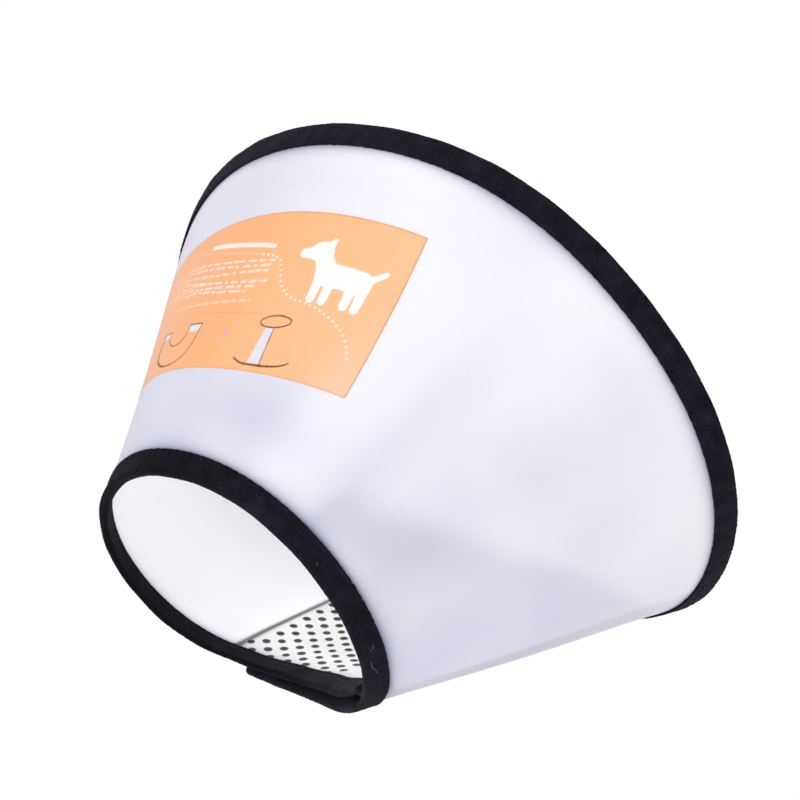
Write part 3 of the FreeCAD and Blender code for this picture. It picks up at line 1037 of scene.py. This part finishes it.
def curve(points, count):
    """Smooth Catmull-Rom curve through points."""
    p = np.array(points, float)
    out = []
    for x in np.linspace(0, len(p) - 1, count):
        i = min(int(x), len(p) - 2)
        f = x - i
        before, a, b, after = p[max(i - 1, 0)], p[i], p[i + 1], p[min(i + 2, len(p) - 1)]
        out.append(0.5 * ((2 * a) + (b - before) * f
                          + (2 * before - 5 * a + 4 * b - after) * f * f
                          + (3 * a - before - 3 * b + after) * f ** 3))
    return np.array(out)


class Drawing:
    """Colours at points x, y, painted over in turn."""

    def __init__(self, x, y, rgb):
        self.x, self.y, self.rgb = x, y, rgb

    def paint(self, distance, colour, soft=0.16, alpha=1.0):
        cover = (np.clip(0.5 - distance / soft, 0, 1) * alpha)[..., None]
        self.rgb = self.rgb * (1 - cover) + np.array(colour) * cover

    def stroke(self, points, half_width, colour, **how):
        self.paint(line_distance(self.x, self.y, points) - half_width, colour, **how)

    def fill(self, points, colour):
        self.paint(polygon_distance(self.x, self.y, points), colour)


def background(x, y):
    rgb = np.stack([np.interp(x, BACKGROUND[:, 0], BACKGROUND[:, c]) for c in (1, 2, 3)], -1)
    # painted sheen: the print is made lighter towards large x and small y
    painted_sheen = (ramp(x, 120, 26) * smooth((30 - y) / 30))[..., None]
    return rgb + painted_sheen * np.array([0.0, 0.05, 0.10])


def draw_wording(art):
    """Plain broken bars of different lengths."""
    rng = np.random.default_rng(11)
    for row, points in enumerate(WORDING):
        way = curve(points, 90)
        x, end = points[0][0], points[-1][0]
        while x < end:
            bar_end = min(x + float(rng.uniform(2.0, 7.0)), end)
            within = (way[:, 0] >= x) & (way[:, 0] <= bar_end)
            if within.sum() > 1:
                alpha = 0.35 + 0.45 * min(1.0, max(0.0, (x - 28) / 22.0))
                if row == len(WORDING) - 1:
                    alpha *= 0.6
                art.stroke(way[within], 0.42, WHITE, soft=0.5, alpha=alpha)
            x = bar_end + float(rng.uniform(1.15, 1.5))


def draw_dotted_path(art):
    """Fine close dots first, larger and wider apart past x = 84."""
    way = curve(DOTTED_PATH, 400)
    steps = np.linalg.norm(np.diff(way, axis=0), axis=1)
    travelled = np.concatenate([[0], np.cumsum(steps)])
    at = 0.0
    while at < travelled[-1]:
        x = float(np.interp(at, travelled, way[:, 0]))
        y = float(np.interp(at, travelled, way[:, 1]))
        radius, alpha, gap = (0.26, 0.75, 1.35) if x < 84 else (0.50, 0.95, 2.45)
        art.paint(np.hypot(art.x - x, art.y - y) - radius, WHITE, alpha=alpha)
        at += gap


def draw_dog(art):
    """A standing dog in one flat colour, its parts run softly together."""
    x, y = art.x, art.y
    parts = [capsule_distance(x, y, *DOG_BODY), capsule_distance(x, y, *DOG_NECK),
             ellipse_distance(x, y, DOG_HEAD, DOG_HEAD_RADII)]
    parts += [capsule_distance(x, y, *limb) for limb in DOG_LIMBS]
    softness = 0.8
    dog = parts[0]
    for part in parts[1:]:
        h = np.clip(0.5 + 0.5 * (part - dog) / softness, 0, 1)
        dog = part * (1 - h) + dog * h - softness * h * (1 - h)
    art.paint(dog, (0.985, 0.975, 0.98), soft=0.22)


def draw_flat_sheet(art):
    """The unrolled sheet with its closure strips."""
    for tab in FLAT_SHEET_TABS:
        art.fill(tab, GREY)
    line = 0.34
    heavier = line * (0.70 + 1.1 * (1 - ramp(art.x, 34, 20)))
    art.stroke(curve(FLAT_SHEET_OUTER, 60), heavier, BROWN)
    art.stroke(curve(FLAT_SHEET_INNER, 40), line * 0.8, BROWN)
    for end in FLAT_SHEET_ENDS:
        art.stroke(end, 0.26, BROWN)


def draw_rolled_cone(art):
    art.fill(CONE_BAND, GREY)
    art.stroke(CONE_BAND[1:3], 0.20, BROWN)
    # the neck opening, a tilted ellipse
    angles = np.radians(np.linspace(0, 360, 41))
    cosine, sine = math.cos(math.radians(7)), math.sin(math.radians(7))
    long, short = 6.9 * np.cos(angles), 2.35 * np.sin(angles)
    opening = np.stack([104.2 + long * cosine - short * sine,
                        20.3 + long * sine + short * cosine], 1)
    art.stroke(opening, 0.27, BROWN)
    swelling = 0.30 + 0.10 * np.sin((art.x - 91.5) / 26.7 * math.pi)
    art.stroke(curve(CONE_NEAR_BASE, 40), swelling, BROWN)
    for points in (curve(CONE_FAR_BASE, 30), *CONE_SIDES):
        art.stroke(points, 0.07, EDGE_ORANGE, soft=0.25, alpha=0.5)


def draw_panel(x, y):
    """Colours of the print at panel coordinates in millimetres."""
    art = Drawing(x, y, background(x, y))
    from_border = np.minimum(np.minimum(x, PANEL_WIDTH - x), np.minimum(y, PANEL_HEIGHT - y))
    art.paint(np.abs(from_border - 0.30) - 0.24, EDGE_ORANGE, alpha=0.8)
    art.stroke(curve(HEADING, 40), 1.0, WHITE, alpha=0.85)
    draw_wording(art)
    draw_dotted_path(art)
    draw_dog(art)
    draw_flat_sheet(art)
    art.fill(ARROW, (0.97, 0.36, 0.58))
    draw_rolled_cone(art)
    art.stroke(THIN_LINE, 0.10, (0.90, 0.26, 0.10), soft=0.25, alpha=0.8)
    return np.clip(art.rgb, 0, 1)


# ------------------------------------------------------------- printed panel
# the two long edges: quadratics in turn that give slant as a share of the rim's
PANEL_RIM_EDGE = np.array([6.507269e-06, -0.003080444551, 1.209383149])
PANEL_NECK_EDGE = np.array([1.5434917e-05, -0.008040038275, 1.650739454])
PANEL_TURNS = (210.6, 303.4)   # its ends at the neck edge
PANEL_TAPER = 6.9              # degrees each end draws in at the rim edge
PANEL_COLUMNS, PANEL_ROWS = 440, 214
BACK_STEP = 8                  # the back face uses every eighth line
FILM_LIFT, FILM_BACK_LIFT = 0.00046, 0.00032


def panel_map(x, y):
    """Turn and slant at panel coordinates from 0 to 1."""
    end = PANEL_TURNS[1] - PANEL_TAPER * y
    start = PANEL_TURNS[0] + PANEL_TAPER * y
    turn = start + (end - start) * x
    part = np.polyval(PANEL_NECK_EDGE, turn) * (1 - y) + np.polyval(PANEL_RIM_EDGE, turn) * y
    return turn, part * RIM


def grid_quads(a, b, c, d):
    return np.stack([a, b, c, d], -1).reshape(-1, 4).tolist()


def panel_faces(picks_x, picks_y):
    """Fine front, coarse back, and walls that join the two."""
    front = np.arange(PANEL_COLUMNS * PANEL_ROWS).reshape(PANEL_COLUMNS, PANEL_ROWS)
    back = front.size + np.arange(len(picks_x) * len(picks_y)).reshape(len(picks_x), -1)
    faces = grid_quads(front[:-1, :-1], front[1:, :-1], front[1:, 1:], front[:-1, 1:])
    faces += grid_quads(back[:-1, :-1], back[:-1, 1:], back[1:, 1:], back[1:, :-1])
    # each wall: its line on the front, on the back, and whether it is flipped
    for picks, walls in (
            (picks_x, ((front[:, 0], back[:, 0], True), (front[:, -1], back[:, -1], False))),
            (picks_y, ((front[0], back[0], False), (front[-1], back[-1], True)))):
        for k in range(len(picks) - 1):
            for front_line, back_line, flip in walls:
                run = front_line[picks[k]:picks[k + 1] + 1].tolist()
                ends = [int(back_line[k + 1]), int(back_line[k])]
                faces.append(run[::-1] + ends[::-1] if flip else run + ends)
    return faces


def build_panel():
    x, y = np.meshgrid(np.linspace(0, 1, PANEL_COLUMNS), np.linspace(0, 1, PANEL_ROWS),
                       indexing="ij")
    turn, slant = panel_map(x, y)
    picks_x = list(range(0, PANEL_COLUMNS - 1, BACK_STEP)) + [PANEL_COLUMNS - 1]
    picks_y = list(range(0, PANEL_ROWS - 1, BACK_STEP)) + [PANEL_ROWS - 1]
    picks = np.ix_(picks_x, picks_y)
    front = place(turn, slant, FILM_LIFT).reshape(-1, 3)
    back = place(turn, slant, FILM_BACK_LIFT)[picks].reshape(-1, 3)
    obj = new_mesh("panel_film", np.concatenate([front, back]),
                   panel_faces(picks_x, picks_y), FILM)
    art = draw_panel(x * PANEL_WIDTH, y * PANEL_HEIGHT).reshape(-1, 3)
    colour_attribute(obj, "Art", np.concatenate([art, np.full(back.shape, 0.85)]))
    follow_bodies(obj, np.concatenate([turn.ravel(), turn[picks].ravel()]))
    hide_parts("printed_panel")


# ---------------------------------------------------------------------- lint
# turn, slant, length, tilt from the slant direction in degrees
LINT = [(364.0, NECK + 0.00565, 0.0026, -48), (371.8, NECK + 0.0042, 0.0068, 76),
        (330.0, NECK + 0.004, 0.0014, 140)]
LINT_RADIUS = 0.00004
LINT_LIFT = 0.00158
LINT_STATIONS = 7
LINT_SIDES = 4


def build_lint():
    """A few pale fibres caught on the neck tape."""
    material = lint()
    stations = np.arange(LINT_STATIONS)
    angles = np.arange(LINT_SIDES)[None] * math.pi / 2
    verts, faces, vert_turns = [], [], []
    for turn, slant, length, tilt in LINT:
        cosine, sine = math.cos(math.radians(tilt)), math.sin(math.radians(tilt))
        x = (stations / (LINT_STATIONS - 1) - 0.5) * length
        wobble = 0.0003 * np.sin(stations * 1.4 + turn)
        turns = turn + (x * sine - wobble * cosine) / slant / SHEET_ANGLE * 360
        slants = (slant + x * cosine + wobble * sine)[:, None] + LINT_RADIUS * np.cos(angles)
        lifts = LINT_LIFT + LINT_RADIUS * np.sin(angles)
        faces += tube_faces(len(verts), LINT_STATIONS, LINT_SIDES)
        verts.extend(place(turns[:, None], slants, lifts).reshape(-1, 3))
        vert_turns.extend(np.repeat(turns, LINT_SIDES))
    obj = new_mesh("lint_fibres", np.array(verts), faces, material)
    fix_normals(obj)
    follow_bodies(obj, vert_turns)


build_sheet(TONGUE_END + 0.5, CUT, flap=False)
build_sheet(CUT, FLAP_END - 0.1, flap=True)
build_binding(RIM_EDGE, TONGUE_END, CUT, flap=False, rounded=(True, False), seed=3)
build_binding(RIM_EDGE, CUT, FLAP_END + 0.3, flap=True, rounded=(False, True), seed=4)
build_binding(NECK_EDGE, TONGUE_END, CUT, flap=False, rounded=(False, False), seed=5)
build_binding(NECK_EDGE, CUT, FLAP_END + 0.6, flap=True, rounded=(False, True), seed=6)
for stitched_edge, end_gap in ((RIM_EDGE, 0.6), (NECK_EDGE, 1.0)):
    build_stitches(stitched_edge, TONGUE_END + 1, CUT, flap=False)
    build_stitches(stitched_edge, CUT, FLAP_END - end_gap, flap=True)
build_hook_strip()
build_loop_strip()
build_weld_dots()
build_panel()
build_lint()

# ------------------------------------------------------------ floor and light
FLOOR_HALF = 6.0
FLOOR_GAP = 0.0004
# the camera sees seamless white; the object sees softer light
SEEN_WHITE = {"Color": (1, 1, 1, 1), "Strength": 1.02}
FLOOR_GLOW = {"Color": (0.96, 0.96, 1.0, 1), "Strength": 0.50}
WORLD_LIGHT = {"Color": (0.965, 0.955, 0.985, 1), "Strength": 1.10}
LIGHT_TARGET = (0, 0, -0.06)


def camera_ray(tree):
    return node(tree, "LightPath").outputs["Is Camera Ray"]


def floor_material():
    material, tree = new_material("floor")
    mottle = node(tree, "TexNoise", {"Scale": 3.0}).outputs["Fac"]
    tone = map_range(tree, mottle, to_min=0.93, to_max=0.96)
    matte = node(tree, "BsdfDiffuse", {"Color": tone}).outputs[0]
    glow = node(tree, "Emission", FLOOR_GLOW).outputs[0]
    seen = node(tree, "Emission", SEEN_WHITE).outputs[0]
    soft = mix_shaders(tree, 0.70, matte, glow)
    set_surface(tree, mix_shaders(tree, camera_ray(tree), soft, seen))
    return material


def build_floor():
    bpy.context.view_layer.update()
    lowest = min(float(np.asarray(box)[0][2]) for box in (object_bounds(), cad_box))
    corners = [(-1, -1), (1, -1), (1, 1), (-1, 1)]
    verts = [(x * FLOOR_HALF, y * FLOOR_HALF, lowest - FLOOR_GAP) for x, y in corners]
    floor = new_mesh("floor", verts, [[0, 1, 2, 3]], floor_material(), smooth_shaded=False)
    floor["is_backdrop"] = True


def build_world():
    world = bpy.data.worlds.new("studio")
    bpy.context.scene.world = world
    world.use_nodes = True
    tree = world.node_tree
    tree.nodes.clear()
    light = node(tree, "Background", WORLD_LIGHT).outputs[0]
    seen = node(tree, "Background", SEEN_WHITE).outputs[0]
    node(tree, "OutputWorld", {"Surface": mix_shaders(tree, camera_ray(tree), light, seen)})


def add_disk_light(name, location, size, power, colour=(1, 1, 1)):
    light = bpy.data.lights.new(name, "AREA")
    light.shape = "DISK"
    light.size = size
    light.energy = power
    light.color = colour
    obj = add_object(name, light)
    obj.location = location
    aim = Vector(LIGHT_TARGET) - Vector(location)
    obj.rotation_euler = aim.to_track_quat("-Z", "Y").to_euler()


def add_inner_glow():
    """A small warm light inside the cone."""
    light = bpy.data.lights.new("inner_glow", "POINT")
    light.energy = 0.27
    light.color = (0.97, 0.95, 0.90)
    light.shadow_soft_size = 0.03
    add_object("inner_glow", light).location = (0.0, -0.005, -0.090)


build_floor()
build_world()
add_disk_light("key", (0.95, -0.25, 0.75), size=0.8, power=5.6)
add_disk_light("fill", (-0.2, -1.1, 0.9), size=1.2, power=0.8, colour=(0.95, 0.95, 1.0))
add_inner_glow()

# -------------------------------------------------------------------- camera
CAMERA_RIGHT = (-0.6297299820821863, -0.524719540404442, -0.5728084789740115)
CAMERA_DOWN = (-0.7628450497712376, 0.27850834399013363, 0.5835242346016071)
CAMERA_FORWARD = (-0.14665462729244974, 0.8044268184525083, -0.5756647583864136)
CAMERA_FROM_APEX = np.array([0.09186003193332681, -0.4769692776577669, 0.11202566856987074])


def build_camera():
    scene = bpy.context.scene
    data = bpy.data.cameras.new("camera")
    data.sensor_width = 36.0
    data.sensor_fit = "HORIZONTAL"
    data.lens = 62.7625
    data.clip_start = 0.01
    camera = add_object("camera", data)
    rows = [(right, -down, -forward, eye) for right, down, forward, eye in
            zip(CAMERA_RIGHT, CAMERA_DOWN, CAMERA_FORWARD, APEX + CAMERA_FROM_APEX)]
    camera.matrix_world = Matrix((*rows, (0, 0, 0, 1)))
    scene.camera = camera
    scene.view_settings.view_transform = "Standard"
    scene.view_settings.look = "None"


build_camera()
